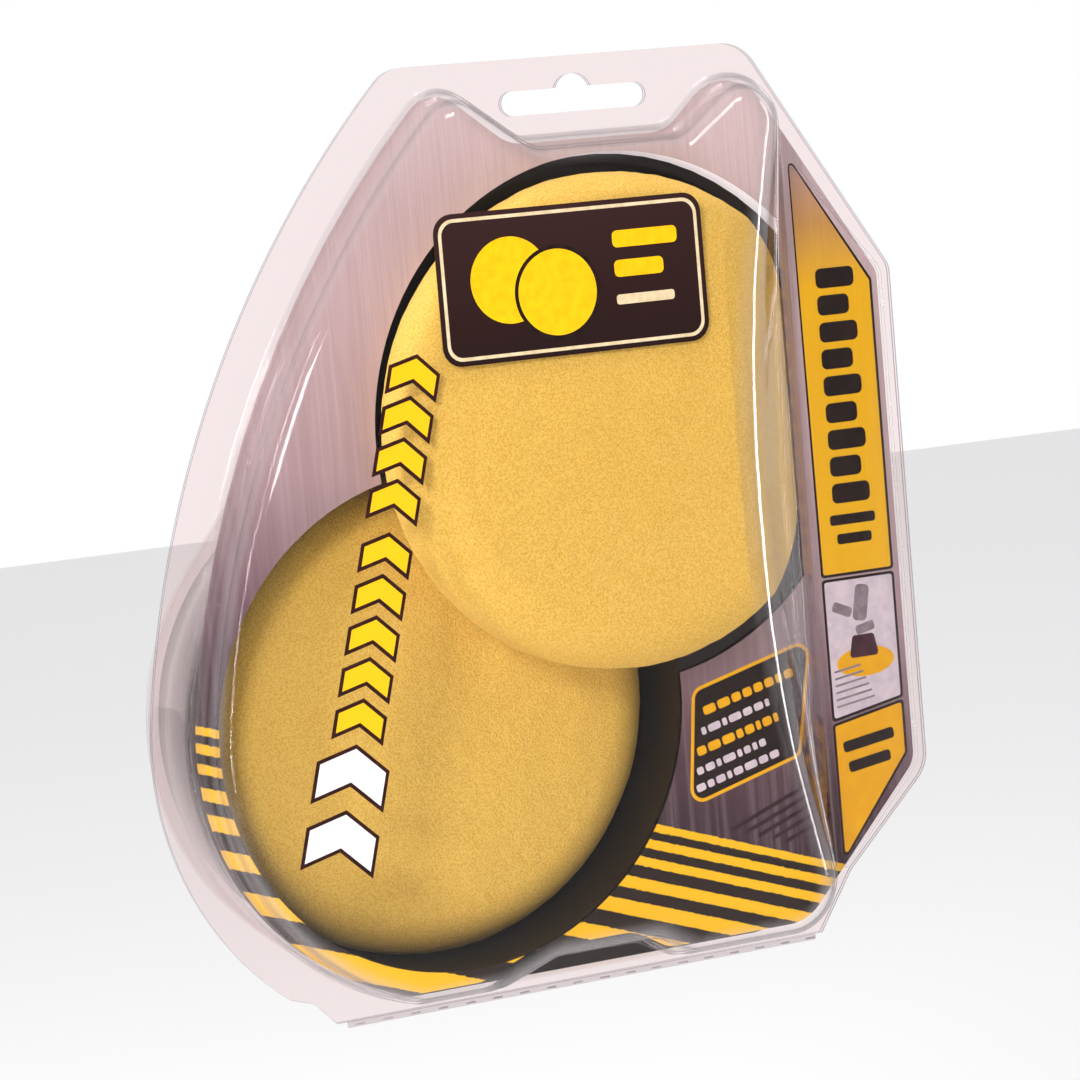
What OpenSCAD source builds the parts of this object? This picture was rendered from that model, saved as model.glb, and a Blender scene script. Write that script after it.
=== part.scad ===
// Clear folding clamshell pack that holds two round foam polishing pads.
//
// The pack stands upright. X runs across it, -Y points out of its front, +Z is up.
// Outlines are drawn in the plane of the flanges, with X = 0 and Z = 0 at the middle of the
// lower pad's window and on the fold, and the whole model is then moved so that its origin is
// at the middle of the bottom of its bounding box.

/* [Pads] */
// Diameter of each foam pad
pad_d = 101.6; // [98:0.2:101.6]
// Thickness of the foam
foam_t = 22.2; // [20:0.2:22.2]
// Rounding of the foam's polishing edge
foam_edge_r = 10.8; // [8:0.2:12]
// Thickness of the bonding film behind the foam
bond_t = 0.3; // [0.2:0.05:0.3]
// Diameter of the loop disc on the back
loop_d = 92; // [84:1:93]
// Thickness of the loop disc
loop_t = 1.5; // [1:0.1:1.5]

/* [Clear shells] */
// Thickness of the clear sheet
sheet_t = 0.5; // [0.4:0.05:0.5]
// How far the front bulge stands out from the flange
bulge_depth = 16.15; // [16:0.05:17]
// Rounding of the bulge's front edge
bulge_edge_r = 5; // [4:0.25:5]
// Rounding of the back cavity's far edge
cavity_edge_r = 5; // [4:0.25:5]
// Height of the small step in the walls
wall_step = 0.6; // [0.3:0.1:0.6]
// How far the card pocket stands out from the front flange
pocket_depth = 0.8; // [0.7:0.1:1]

/* [Card, tray and labels] */
// Thickness of the printed cards
card_t = 0.3; // [0.25:0.05:0.3]
// Play between neighbouring sheets
play = 0.05; // [0.05:0.01:0.08]
// Thickness of the tray's black sheet
tray_t = 0.4; // [0.3:0.05:0.4]
// Thickness of the printed labels
label_t = 0.15; // [0.1:0.05:0.2]

/* [Hang slot] */
// Width of the slot
slot_w = 32.6; // [31:0.2:33]
// Height of the slot's ends
slot_h = 5; // [4.4:0.2:5.4]
// Radius of the arch over its middle
slot_arch_r = 4.2; // [3.6:0.2:4.6]

/* [Fold] */
// Radius of the bead that joins the two shells
fold_r = 0.6; // [0.5:0.05:0.7]

/* [Hidden] */
$fn = 96;

// Outlines are lists of circles [x, z, radius, segments] that a closed line runs round, seen
// from the front and anticlockwise. A negative radius is a hollow corner.
pack_h = 190;
pack_right = 108.2;
low_c = [0, 58.2];            // middle of the lower window
flank_tilt = 8;               // where the long left flank leaves the lower round
low_flange_r = 65.3;          // lower round of the flange
flank_r = 215;                // long left flank of the flange
flank_c = low_c + (flank_r - low_flange_r) * [cos(flank_tilt), -sin(flank_tilt)];
base_margin = 7.6;            // from the flange's left edge to the foot of the bulge
face_inset = 1.7;             // how far the bulge's left wall leans in
card_margin = 1.6;            // from the foot of the bulge to the card's edge
straight_r = 20000;           // a radius so large that the side is straight

// A circle of radius r at height z that just touches the inside of the circle big
function inside(big, r, z) = [big[0] - sqrt(pow(big[2] - r, 2) - pow(z - big[1], 2)), z, r];
function flank(margin) = [flank_c[0], flank_c[1], flank_r - margin];
function lower_round(margin) = [low_c[0], low_c[1], low_flange_r - margin];
function with_n(c, n) = [c[0], c[1], c[2], n];

top_corner_r = 8;
fold_left = -31.3;
fold_right = 79.7;
fold_corner_r = 0.8;
notch_r = 2.4;                // softened end of the fold on the right
flange = [
    [fold_right - notch_r, notch_r, notch_r, 6],
    [94, 8.6, -8, 3],
    [pack_right - 8, 36.5, 8, 8],
    [pack_right - 5.2, 139.4, 5.2, 8],
    [71.9, pack_h - 9, 9, 8],
    with_n(inside(flank(0), top_corner_r, pack_h - top_corner_r), 8),
    with_n(flank(0), 16),
    with_n(lower_round(0), 28),
    with_n(inside(lower_round(0), 1.5, 9.2), 4),
    [-39.4, 1.2, -5.6, 6],
    [fold_left + fold_corner_r, fold_corner_r, fold_corner_r, 4]];

// Foot of the front bulge, where it meets the flange
foot_z = 2.6;                 // underside of its two feet
base_top_z = 174.6;           // bottom of the dip below the hang slot
base_right = 84;
base = [
    [base_right - 11.85, foot_z + 12, 12, 8],
    [base_right + straight_r, 92.9, -straight_r, 12],
    [base_right - 11.85, 172, 12, 8],
    [54.5, base_top_z + 7.2, -7.2, 5],
    [25.6, base_top_z + 7.2, -7.2, 5],
    with_n(inside(flank(base_margin), 9, 176.3), 8),
    with_n(flank(base_margin), 12),
    with_n(lower_round(base_margin), 20),
    with_n(inside(lower_round(base_margin), 8, foot_z + 8), 4),
    [-1, foot_z + 10, 10, 3],
    [14.5, foot_z - 5.4, -10, 4],
    [33, foot_z - 3.4, -8, 4],
    [45, foot_z + 8, 8, 4]];

// Front face of the bulge, before its edge is rounded
face_foot_z = 5.2;
face_top_z = 171.6;
waist_r = 244;                // the right side curves in towards its middle
face_margin = base_margin + face_inset;
face = [
    [64.8, face_foot_z + 10.8, 10.8, 8],
    [64 + waist_r, 97, -waist_r, 12],
    [69.3, 173.9, 6.6, 8],
    [52.5, face_top_z + 6.8, -6.8, 5],
    [24.8, face_top_z + 6.8, -6.8, 5],
    with_n(inside(flank(face_margin), 7.4, 174.7), 8),
    with_n(flank(face_margin), 12),
    with_n(lower_round(face_margin), 20),
    with_n(inside(lower_round(face_margin), 7, face_foot_z + 7), 4),
    [-2, face_foot_z + 10, 10, 3],
    [14.5, face_foot_z - 5.4, -10, 4],
    [33, face_foot_z - 3.4, -8, 4],
    [45, face_foot_z + 8, 8, 4]];

// Raised pocket of the front flange over the card's side panel
pocket = [
    [84.4, 13.2, 1.5, 4],
    [99.4, 37, 6.8, 8],
    [100.7, 138.6, 5.4, 8],
    [82.6, 168.6, 3, 6],
    [76, 160, 2, 4],
    [76, 20, 2, 4]];

// Printed front card: follows the foot of the bulge, and fills the pocket on the right
card = concat(
    [[base[0][0], base[0][1], base[0][2] - card_margin, 8],
     [99.3, 37, 6, 8],
     [100.6, 138.6, 4.6, 8],
     [base[2][0], base[2][1], base[2][2] - card_margin, 8]],
    [for (i = [3:len(base) - 1]) [base[i][0], base[i][1], base[i][2] - card_margin, base[i][3]]]);
low_window_r = 51.25;
up_window = [42.5, 115.3, 54.8];
window_right = 82.3;          // the upper window stops short of the side panel

// Pads and the tray's wells
pad_r = pad_d / 2;
pad_t = foam_t + bond_t + loop_t;
low_pad = [-0.8, 58.6];
up_pad = [39.3, 115.2];
up_pad_front = -16;           // polishing face of the upper pad
pad_gap = 0.5;                // between the two pads
low_pad_front = up_pad_front + pad_t + pad_gap;
well_gap = 0.4;               // between a pad's back and its well's floor
up_floor = up_pad_front + pad_t + well_gap;
low_floor = low_pad_front + pad_t + well_gap;
up_well_r = 52.8;
low_well_r = 51.9;
well_draft = 1;               // how much a deep well narrows
tray_front = card_t / 2 + 2 * play + sheet_t;

// Back cavity: two rounds about the pads, and a flat underside
cavity_z = 2.6;
cavity_corner_r = 7.75;
cavity_base = [
    [64, cavity_z + cavity_corner_r, cavity_corner_r, 6],
    [40.5, 115.3, 55.5, 26],
    [low_pad[0], low_pad[1], 57, 26],
    [-14, cavity_z + cavity_corner_r, cavity_corner_r, 6]];
cavity_back = [
    [63, cavity_z + cavity_corner_r, cavity_corner_r, 6],
    [40.5, 115.3, 52.5, 26],
    [low_pad[0], low_pad[1], 55.6, 26],
    [-13, cavity_z + cavity_corner_r, cavity_corner_r, 6]];
face_middle = [20, 95];       // a point that sees the whole edge of the bulge's face
cavity_middle = [20, 85];
back_card_y = low_floor + tray_t + play;
flange_y = card_t / 2 + play; // inner face of each flange
cavity_depth = back_card_y + card_t + play - flange_y;

// Standing ribs under the cavity, level with the fold
rib_w = 9;
rib_x = [-8, 56];             // middle of each rib
rib_end_gap = 6;              // from a rib's end to the back of the cavity

// Hang slot, the same in both shells
slot_x = 37.6;
slot_z = 181.1;
slot_arch_z = 182.2;

// Wall details
foot_r = 0.7;                 // hollow rounding where a wall meets its flange
lip = 0.5;                    // rim of the formed part that is let into the flange
lip_skin = 0.1;               // flange left over on each side of that rim
step_at = 0.42;               // height of the wall step, as a part of the depth
step_run = 0.6;

// Labels on the bulge's face
face_y = -(flange_y + sheet_t + bulge_depth);
front_label_c = [26.3, 145.5];
front_label_w = 59;
front_label_h = 30;
front_label_r = 4;
side_start = [-35.2, 36];     // where the row of chevrons starts and which way it climbs
side_angle = 74.9;
chevron_lean = 0.28;          // how far each chevron's point stands ahead, as a part of its width
big_marks = [2, 14, 10.5, 13];       // count, width, length and spacing of the large chevrons
mid_marks = [5, 9.5, 6.6, 8.2];      // the same for the middle group
small_marks = [4, 9.5, 6.6, 8.2];    // and for the top group
group_gap = 2.4;

// The model's own frame
front_y = face_y - label_t;
back_y = flange_y + sheet_t + cavity_depth;
mid_x = (pack_right + low_c[0] - low_flange_r) / 2;
mid_y = (front_y + back_y) / 2;

// ---- Outlines -----------------------------------------------------------------------------

// Direction of the outward normal of the line that runs from circle a to circle b
function normal_angle(a, b) =
    let (d = [b[0] - a[0], b[1] - a[1]])
    atan2(d[1], d[0]) - acos(max(-1, min(1, (a[2] - b[2]) / norm(d))));

// An angle brought into 0 to 360, with a full turn taken as none
function turn(a) = let (m = a - 360 * floor(a / 360)) m > 359.9 ? 0 : m;

// Whether two circles touch from the inside, so that one arc runs straight into the next
function touching(a, b) = norm([b[0] - a[0], b[1] - a[1]]) - abs(a[2] - b[2]) < 0.001;

// Points of the closed line round a list of circles, moved inwards by inset. With between, they
// lie halfway along the arcs' steps, so that they never fall on the edges of a wall's facets.
function ring(circles, inset = 0, between = false) =
    let (n = len(circles))
    [for (i = [0:n - 1])
        let (c = circles[i],
             before = circles[(i + n - 1) % n],
             start = normal_angle(before, c),
             stop = normal_angle(c, circles[(i + 1) % n]),
             sweep = c[2] > 0 ? turn(stop - start) : -turn(start - stop))
        for (s = between ? [0.5:1:c[3]] : [touching(before, c) ? 1 : 0:1:c[3]])
            let (a = start + sweep * s / c[3])
            [c[0] + (c[2] - inset) * cos(a), c[1] + (c[2] - inset) * sin(a)]];

// Ring between two outlines at depth d of a wall that is depth deep
function wall_ring(from, to, depth, d, inset) =
    let (t = max(0, min(1, d / depth)))
    ring(from, inset) * (1 - t) + ring(to, inset) * t;

// ---- Formed sheet -------------------------------------------------------------------------

// Outside and inside of a formed wall as [depth, inset] pairs, from its lip to its far face
function wall_outside(depth, edge_r) = concat(
    [[lip_skin - sheet_t, -foot_r - lip], [-lip_skin, -foot_r - lip], [-lip_skin, -foot_r]],
    [for (a = [30:30:90]) [foot_r * (1 - cos(a)), foot_r * (sin(a) - 1)]],
    [[step_at * depth, 0], [step_at * depth + step_run, wall_step]],
    [for (a = [0:18:90]) [depth - edge_r * (1 - sin(a)), wall_step + edge_r * (1 - cos(a))]]);

function wall_inside(depth, edge_r) =
    let (far_r = edge_r - sheet_t, near_r = foot_r + sheet_t)
    concat(
        [for (a = [90:-18:0]) [depth - edge_r + far_r * sin(a), wall_step + edge_r - far_r * cos(a)]],
        [[step_at * depth + step_run, wall_step + sheet_t], [step_at * depth, sheet_t]],
        [for (a = [90:-30:30]) [foot_r - near_r * cos(a), near_r * sin(a) - foot_r]],
        [[lip_skin - sheet_t, -foot_r]]);

// A hollow wall with a closed far face. It leaves the plane y = start in direction side.
module formed_wall(from, to, depth, edge_r, start, side, middle) {
    outside = wall_outside(depth, edge_r);
    inside = wall_inside(depth, edge_r);
    sections = concat(outside, inside);
    count = len(ring(from));
    n_out = len(outside);
    n_all = len(sections);
    points = [for (s = sections)
              for (p = wall_ring(from, to, depth, s[0], s[1])) [p[0], start + side * s[0], p[1]]];
    // Every pair of neighbouring sections is joined, except across the far face
    joins = [for (k = [0:n_all - 1]) if (k != n_out - 1) k];
    quads = [for (k = joins) for (i = [0:count - 1])
        let (j = (i + 1) % count, m = (k + 1) % n_all,
             a = k * count + i, b = k * count + j, c = m * count + j, d = m * count + i)
        each [[a, b, c], [a, c, d]]];
    // Each far face is a fan of triangles about its middle
    hubs = [for (k = [n_out - 1, n_out]) [middle[0], start + side * sections[k][0], middle[1]]];
    caps = [for (i = [0:count - 1])
        let (j = (i + 1) % count)
        each [[(n_out - 1) * count + i, (n_out - 1) * count + j, n_all * count],
              [n_out * count + j, n_out * count + i, n_all * count + 1]]];
    faces = concat(quads, caps);
    polyhedron(concat(points, hubs), side < 0 ? [for (f = faces) [for (i = [len(f) - 1:-1:0]) f[i]]] : faces);
}

// A flat sheet that stands in the XZ plane, from y0 to y0 + t
module upright(y0, t) {
    translate([0, y0 + t, 0]) rotate([90, 0, 0]) linear_extrude(t) children();
}

module slot_outline() {
    half = slot_w / 2 - slot_h / 2;
    translate([slot_x, slot_z]) square([2 * half, slot_h], center = true);
    for (s = [-1, 1]) translate([slot_x + s * half, slot_z]) circle(slot_h / 2);
    translate([slot_x, slot_arch_z]) circle(slot_arch_r);
}

// Strip along the fold that is left free for the bead
module fold_strip() {
    translate([fold_left - 1, -1]) square([fold_right - fold_left + 2, 2 * fold_r + 1.15]);
}

module to_frame() {
    translate([-mid_x, -mid_y, 0]) children();
}

// ---- Clear shells -------------------------------------------------------------------------

module front_flange() {
    front = -flange_y - sheet_t;
    // rim
    upright(front, sheet_t) difference() {
        polygon(ring(flange));
        polygon(ring(base, -foot_r - lip / 2, true));
        polygon(ring(pocket));
        fold_strip();
        slot_outline();
    }
    // side wall of the card pocket
    upright(front - pocket_depth, pocket_depth + sheet_t) difference() {
        polygon(ring(pocket, -sheet_t));
        polygon(ring(pocket));
        polygon(ring(base, 0.3 * sheet_t, true));
    }
    // floor of the card pocket
    upright(front - pocket_depth, sheet_t) difference() {
        polygon(ring(pocket, -sheet_t / 2));
        polygon(wall_ring(base, face, bulge_depth, pocket_depth, sheet_t / 2));
    }
}

module front_shell() {
    color([0.92, 0.95, 0.97, 0.3]) to_frame() {
        front_flange();
        formed_wall(base, face, bulge_depth, bulge_edge_r, -flange_y - sheet_t, -1, face_middle);
    }
}

module back_flange() {
    upright(flange_y, sheet_t) difference() {
        polygon(ring(flange));
        polygon(ring(cavity_base, -foot_r - lip / 2, true));
        fold_strip();
        slot_outline();
    }
}

// A hollow rib that the pack stands on, from behind the wall's step to near the cavity's back
module standing_rib(x) {
    y0 = flange_y + sheet_t + step_at * cavity_depth + 2 * step_run;
    y1 = back_y - rib_end_gap;
    top = cavity_z + wall_step + sheet_t / 2;
    difference() {
        translate([x - rib_w / 2, y0, 0]) cube([rib_w, y1 - y0, top]);
        translate([x - rib_w / 2 + sheet_t, y0 + sheet_t, sheet_t])
            cube([rib_w - 2 * sheet_t, y1 - y0 - 2 * sheet_t, cavity_z + wall_step - sheet_t]);
    }
}

module back_shell() {
    color([0.92, 0.95, 0.97, 0.3]) to_frame() {
        back_flange();
        formed_wall(cavity_base, cavity_back, cavity_depth, cavity_edge_r, flange_y + sheet_t, 1, cavity_middle);
        for (x = rib_x) standing_rib(x);
    }
}

module living_hinge() {
    inset = 1.8;
    color([0.9, 0.93, 0.95, 0.5]) to_frame()
        translate([fold_left + inset, 0, fold_r]) rotate([0, 90, 0])
            cylinder(h = fold_right - fold_left - 2 * inset, r = fold_r, $fn = 32);
}

// ---- Cards and tray -----------------------------------------------------------------------

module front_card() {
    color([0.78, 0.71, 0.72]) to_frame()
        upright(-card_t / 2, card_t) difference() {
            polygon(ring(card));
            translate(low_c) circle(low_window_r, $fn = 180);
            intersection() {
                translate([up_window[0], up_window[1]]) circle(up_window[2], $fn = 180);
                translate([window_right - 200, 0]) square(200);
            }
        }
}

module back_card() {
    inset = cavity_edge_r + wall_step + 0.6;
    color([0.95, 0.8, 0.1]) to_frame()
        upright(back_card_y, card_t) polygon(ring(cavity_back, inset));
}

// A round well about the Y axis, from y0 to y1, that narrows by draft
module well(centre, r, draft, y0, y1) {
    translate([centre[0], y1, centre[1]]) rotate([90, 0, 0])
        cylinder(h = y1 - y0, r1 = r - draft, r2 = r, $fn = 180);
}

module pad_tray() {
    lip_gap = 0.6;
    up_draft = well_draft * (up_floor - tray_front) / (low_floor - tray_front);
    color([0.08, 0.06, 0.05]) to_frame() difference() {
        union() {
            upright(tray_front, tray_t) polygon(ring(cavity_base, sheet_t + lip_gap));
            well(up_pad, up_well_r + tray_t, up_draft, tray_front, up_floor + tray_t);
            well(low_pad, low_well_r + tray_t, well_draft, tray_front, low_floor + tray_t);
        }
        well(up_pad, up_well_r, up_draft, tray_front - 1, up_floor);
        well(low_pad, low_well_r, well_draft, tray_front - 1, low_floor);
    }
}

// ---- Pads ---------------------------------------------------------------------------------

// A disc about the Y axis, from y0 to y0 + t
module disc(centre, r, y0, t) {
    translate([centre[0], y0 + t, centre[1]]) rotate([90, 0, 0]) cylinder(h = t, r = r, $fn = 180);
}

// Section of the foam: flat front face, round polishing edge, and a back that tapers in
function foam_section() =
    let (e = foam_edge_r)
    concat([[0, 0]],
           [for (a = [0:10:90]) [pad_r - e * (1 - sin(a)), e * (1 - cos(a))]],
           [[pad_r, 0.68 * foam_t], [loop_d / 2 + 1, foam_t], [0, foam_t]]);

module foam(centre, y0) {
    color([0.96, 0.82, 0.42]) translate([centre[0], y0, centre[1]]) rotate([-90, 0, 0])
        rotate_extrude($fn = 180) polygon(foam_section());
}

module upper_pad_foam() {
    side_x = window_right - 0.4;
    shoulder = [64.5, -14];   // where the slanted wall starts to round over into the face
    rounded_x = 56.5;
    relief = 1;               // how far past the card the squeezed side reaches back
    clear_y = face_y - 1;
    color([0.96, 0.82, 0.42]) to_frame() difference() {
        foam(up_pad, up_pad_front);
        // The bulge's slanted right wall squeezes this side of the pad flat
        linear_extrude(pack_h)
            polygon([[side_x, relief], [side_x, 0], shoulder, [rounded_x, clear_y],
                     [pack_right, clear_y], [pack_right, relief]]);
    }
}

module upper_pad_bond() {
    color([0.75, 0.62, 0.3]) to_frame() disc(up_pad, loop_d / 2 + 0.5, up_pad_front + foam_t, bond_t);
}

module upper_pad_loop() {
    color([0.9, 0.9, 0.88]) to_frame()
        disc(up_pad, loop_d / 2, up_pad_front + foam_t + bond_t, loop_t);
}

module lower_pad_foam() {
    to_frame() foam(low_pad, low_pad_front);
}

module lower_pad_bond() {
    color([0.75, 0.62, 0.3]) to_frame() disc(low_pad, loop_d / 2 + 0.5, low_pad_front + foam_t, bond_t);
}

module lower_pad_loop() {
    color([0.9, 0.9, 0.88]) to_frame()
        disc(low_pad, loop_d / 2, low_pad_front + foam_t + bond_t, loop_t);
}

// ---- Labels -------------------------------------------------------------------------------

module front_label() {
    x = front_label_w / 2 - front_label_r;
    z = front_label_h / 2 - front_label_r;
    corners = [for (p = [[1, -1], [1, 1], [-1, 1], [-1, -1]])
               [front_label_c[0] + p[0] * x, front_label_c[1] + p[1] * z, front_label_r, 8]];
    color([0.13, 0.08, 0.08]) to_frame() upright(front_y, label_t) polygon(ring(corners));
}

// One chevron that starts at the origin and points along +X
module chevron(w, l) {
    lead = chevron_lean * w;
    polygon([[0, -w / 2], [l - lead, -w / 2], [l, 0], [l - lead, w / 2], [0, w / 2], [lead, 0]]);
}

// A row of equal chevrons: marks is [count, width, length, spacing]
module chevron_row(marks, start) {
    for (i = [0:marks[0] - 1]) translate([start + i * marks[3], 0]) chevron(marks[1], marks[2]);
}

module side_label() {
    mid_start = big_marks[0] * big_marks[3];
    small_start = mid_start + mid_marks[0] * mid_marks[3] + group_gap;
    color([0.98, 0.78, 0.05]) to_frame() upright(front_y, label_t)
        translate(side_start) rotate(side_angle) {
            chevron_row(big_marks, 0);
            chevron_row(mid_marks, mid_start);
            chevron_row(small_marks, small_start);
        }
}

front_shell();
back_shell();
living_hinge();
front_card();
back_card();
pad_tray();
upper_pad_foam();
upper_pad_bond();
upper_pad_loop();
lower_pad_foam();
lower_pad_bond();
lower_pad_loop();
front_label();
side_label();
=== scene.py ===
"""Clear clamshell pack with two foam polishing pads: its looks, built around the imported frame.

Sizes and places are in millimetres unless a comment says otherwise. X = 0 and Z = 0 lie at the
middle of the lower window and on the fold. Y = 0 lies between the two flanges, with the front at
-Y. The function at() moves a point into the row's frame, in metres.
"""

import math
import random

import bmesh
import bpy
from mathutils import Matrix, Vector, noise
from mathutils.geometry import tessellate_polygon


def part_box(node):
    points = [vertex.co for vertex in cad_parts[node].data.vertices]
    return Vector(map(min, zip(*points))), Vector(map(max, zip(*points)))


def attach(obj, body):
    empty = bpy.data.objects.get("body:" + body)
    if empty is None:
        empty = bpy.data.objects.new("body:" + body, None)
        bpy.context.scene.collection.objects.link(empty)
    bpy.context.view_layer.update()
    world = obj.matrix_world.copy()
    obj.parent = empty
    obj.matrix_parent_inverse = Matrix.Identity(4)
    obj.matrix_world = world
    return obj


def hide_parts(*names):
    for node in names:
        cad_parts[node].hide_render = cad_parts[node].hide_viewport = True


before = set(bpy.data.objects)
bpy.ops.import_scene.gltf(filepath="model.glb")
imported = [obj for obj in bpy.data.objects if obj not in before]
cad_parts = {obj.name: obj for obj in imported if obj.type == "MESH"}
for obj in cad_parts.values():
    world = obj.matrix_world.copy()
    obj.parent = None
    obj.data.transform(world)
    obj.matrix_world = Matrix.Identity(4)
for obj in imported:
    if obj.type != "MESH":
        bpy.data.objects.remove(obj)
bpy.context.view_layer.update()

MM = 0.001

# ---- Sizes -------------------------------------------------------------------------------------

PACK_RIGHT = 108.2
PACK_H = 190
SHEET = 0.5
BULGE_DEPTH = 16.15
CAVITY_DEPTH = 33.5
EDGE_R = 5                         # outside radius of the edge round each far face
WALL_STEP = 0.6                    # width of the ledge that runs round each wall
STEP_AT = 0.42                     # where that ledge lies, as a share of the wall's depth
FOOT_R = 0.7                       # radius where a wall leaves its flange
POCKET_PROFILE = [(0, 0), (0.1, 0.1), (0.55, 0.35), (0.72, 0.5), (0.8, 0.8)]  # depth and inset
POCKET_WALL = 0.4
FLANGE_Y = 0.2                     # inner face of each flange
FLANGE_OUT = FLANGE_Y + SHEET      # outer face of each flange
STRAIGHT_R = 20000                 # a radius so large that the side is straight
FINE = 3                           # arc steps here for each one in the CAD model

LOW_C = (0, 58.2)                  # middle of the lower window, and of the rounds about it
LOW_FLANGE_R = 65.3                # the flange's round about it
FLANK_R = 215                      # the flange's long left side, which touches that round
FLANK_TILT = math.radians(8)       # how far above the level of LOW_C they touch
BASE_MARGIN = 7.6                  # from the flange's edge to the foot of the bulge
FACE_MARGIN = BASE_MARGIN + 1.7    # and to its face
FOLD = (-31.3, 79.7)               # the fold's ends along X

shell_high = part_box("front_shell")[1]
card_low, card_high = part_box("front_card")
MID_X = PACK_RIGHT - shell_high.x / MM
MID_Y = -(card_low.y + card_high.y) / 2 / MM
CARD_FRONT = -0.15                 # face of the printed front card
FACE_Y = -(FLANGE_OUT + BULGE_DEPTH)
BACK_Y = FLANGE_OUT + CAVITY_DEPTH


def at(x, y, z):
    """A point of the pack, in the row's frame and in metres."""
    return ((x - MID_X) * MM, (y - MID_Y) * MM, z * MM)


# ---- Outlines ----------------------------------------------------------------------------------

SAME_POINT = 0.001
SAME_ANGLE = 0.002                 # in radians


def arc(start, stop, steps):
    """Angles in radians from start to stop, which are in degrees."""
    return [math.radians(start + (stop - start) * k / steps) for k in range(steps + 1)]


def turned(x, z, r, start, stop, steps):
    """Points along an arc about x, z, from start to stop in degrees."""
    return [(x + r * math.cos(a), z + r * math.sin(a)) for a in arc(start, stop, steps)]


def inside(big, r, z):
    """A circle of radius r at height z that just touches the inside of the circle big."""
    return (big[0] - math.sqrt((big[2] - r) ** 2 - (z - big[1]) ** 2), z, r)


def flank(margin):
    """The large circle of the pack's left side, moved inwards by margin."""
    reach = FLANK_R - LOW_FLANGE_R
    x = LOW_C[0] + reach * math.cos(FLANK_TILT)
    z = LOW_C[1] - reach * math.sin(FLANK_TILT)
    return (x, z, FLANK_R - margin)


def lower_round(margin):
    """The circle round the lower window, moved inwards by margin."""
    return (LOW_C[0], LOW_C[1], LOW_FLANGE_R - margin)


def normal_angle(a, b):
    """Direction of the outward normal of the line from circle a to circle b."""
    dx, dz = b[0] - a[0], b[1] - a[1]
    turn = max(-1, min(1, (a[2] - b[2]) / math.hypot(dx, dz)))
    return math.atan2(dz, dx) - math.acos(turn)


def touching(a, b):
    """Whether circles a and b touch, so that the line passes between them at a single point."""
    return math.hypot(b[0] - a[0], b[1] - a[1]) - abs(a[2] - b[2]) < SAME_POINT


def wrap(angle):
    """An angle brought into 0 to a full turn, with a full turn taken as none."""
    angle %= math.tau
    return 0 if angle > math.tau - SAME_ANGLE else angle


def ring(circles, inset=0, fine=FINE):
    """Points of the closed line round circles (x, z, radius, steps), moved inwards by inset.

    A negative radius makes a hollow corner.
    """
    points = []
    for i, c in enumerate(circles):
        before, after = circles[i - 1], circles[(i + 1) % len(circles)]
        start, stop = normal_angle(before, c), normal_angle(c, after)
        sweep = wrap(stop - start) if c[2] > 0 else -wrap(start - stop)
        steps = c[3] * fine
        r = c[2] - inset
        for s in range(1 if touching(before, c) else 0, steps + 1):
            a = start + sweep * s / steps
            points.append((c[0] + r * math.cos(a), c[1] + r * math.sin(a)))
    return points


FLANGE = [
    (FOLD[1] - 2.4, 2.4, 2.4, 6),
    (94, 8.6, -8, 3),
    (PACK_RIGHT - 8, 36.5, 8, 8),
    (PACK_RIGHT - 5.2, 139.4, 5.2, 8),
    (71.9, PACK_H - 9, 9, 8),
    (*inside(flank(0), 8, PACK_H - 8), 8),
    (*flank(0), 16),
    (*lower_round(0), 28),
    (*inside(lower_round(0), 1.5, 9.2), 4),
    (-39.4, 1.2, -5.6, 6),
    (FOLD[0] + 0.8, 0.8, 0.8, 4),
]
FOOT_Z = 2.6
DIP_Z = 174.6
BASE = [
    (72.15, FOOT_Z + 12, 12, 8),
    (84 + STRAIGHT_R, 92.9, -STRAIGHT_R, 12),
    (72.15, 172, 12, 8),
    (54.5, DIP_Z + 7.2, -7.2, 5),
    (25.6, DIP_Z + 7.2, -7.2, 5),
    (*inside(flank(BASE_MARGIN), 9, 176.3), 8),
    (*flank(BASE_MARGIN), 12),
    (*lower_round(BASE_MARGIN), 20),
    (*inside(lower_round(BASE_MARGIN), 8, FOOT_Z + 8), 4),
    (-1, FOOT_Z + 10, 10, 3),
    (14.5, FOOT_Z - 5.4, -10, 4),
    (33, FOOT_Z - 3.4, -8, 4),
    (45, FOOT_Z + 8, 8, 4),
]
FACE_Z = 5.2
FACE_TOP = 171.6
FACE = [
    (64.8, FACE_Z + 10.8, 10.8, 8),
    (64 + 244, 97, -244, 12),
    (69.3, 173.9, 6.6, 8),
    (52.5, FACE_TOP + 6.8, -6.8, 5),
    (24.8, FACE_TOP + 6.8, -6.8, 5),
    (*inside(flank(FACE_MARGIN), 7.4, 174.7), 8),
    (*flank(FACE_MARGIN), 12),
    (*lower_round(FACE_MARGIN), 20),
    (*inside(lower_round(FACE_MARGIN), 7, FACE_Z + 7), 4),
    (-2, FACE_Z + 10, 10, 3),
    (14.5, FACE_Z - 5.4, -10, 4),
    (33, FACE_Z - 3.4, -8, 4),
    (45, FACE_Z + 8, 8, 4),
]
POCKET = [
    (86.4, 15.4, 1.2, 4),
    (99.4, 37, 6.8, 8),
    (100.7, 138.6, 5.4, 8),
    (86.9, 161.4, 2, 6),
]
CAVITY_Z = 2.6
CAVITY_CORNER = 7.75
LOW_PAD = (-0.8, 58.6)
UP_PAD = (39.3, 115.2)


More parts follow.
